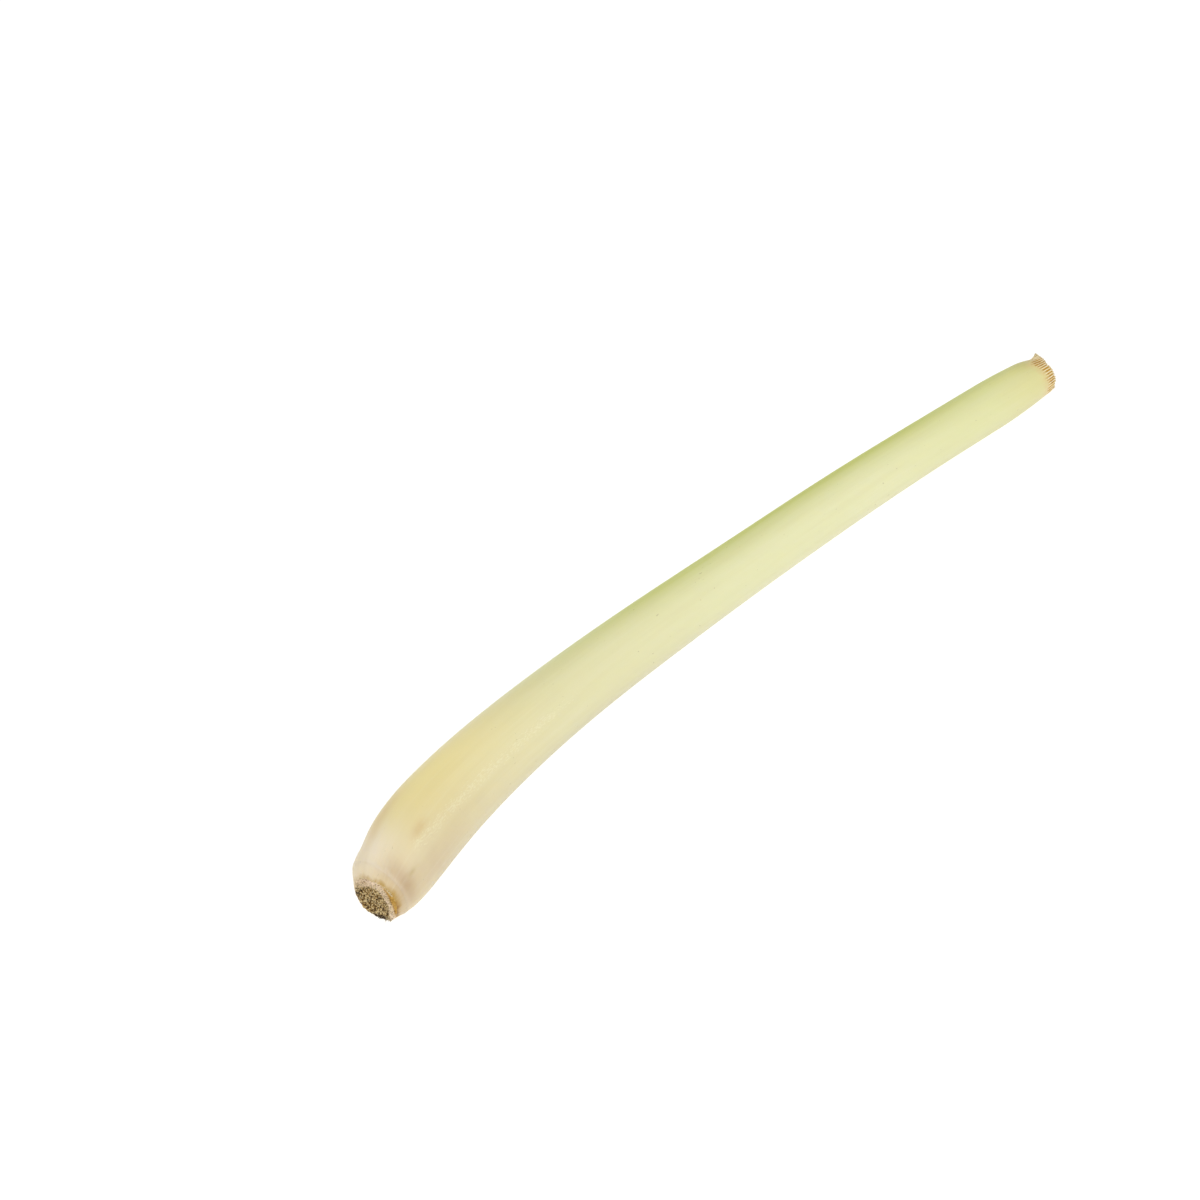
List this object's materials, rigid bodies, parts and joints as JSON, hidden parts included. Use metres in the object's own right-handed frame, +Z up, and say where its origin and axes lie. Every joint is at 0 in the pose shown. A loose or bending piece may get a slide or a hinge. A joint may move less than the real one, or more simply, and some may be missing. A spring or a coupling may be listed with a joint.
{
  "type": "lemongrass stalk",
  "caption": "Trimmed lemongrass stalk lying on its side: corky root cut, swollen pale bulb and a slim, slightly bowed shaft of leaf sheaths rolled round a tight heart.",
  "frame": {"origin": "middle of the stalk's box, at the height of the surface that it lies on", "axes": "+X along the stalk from the root cut to the top cut, +Y towards the side that it bows to, +Z up"},
  "size_m": [0.2244, 0.0246, 0.0175],
  "materials": {
    "cut_stem": "matte",
    "sheath_skin": "satin",
    "inner_sheath": "satin",
    "young_leaf": "satin"
  },
  "bodies": {
    "root": {"basal_stem": "cut_stem", "outer_sheath": "sheath_skin", "second_sheath": "inner_sheath", "third_sheath": "inner_sheath", "heart": "young_leaf"}
  },
  "joints": []
}
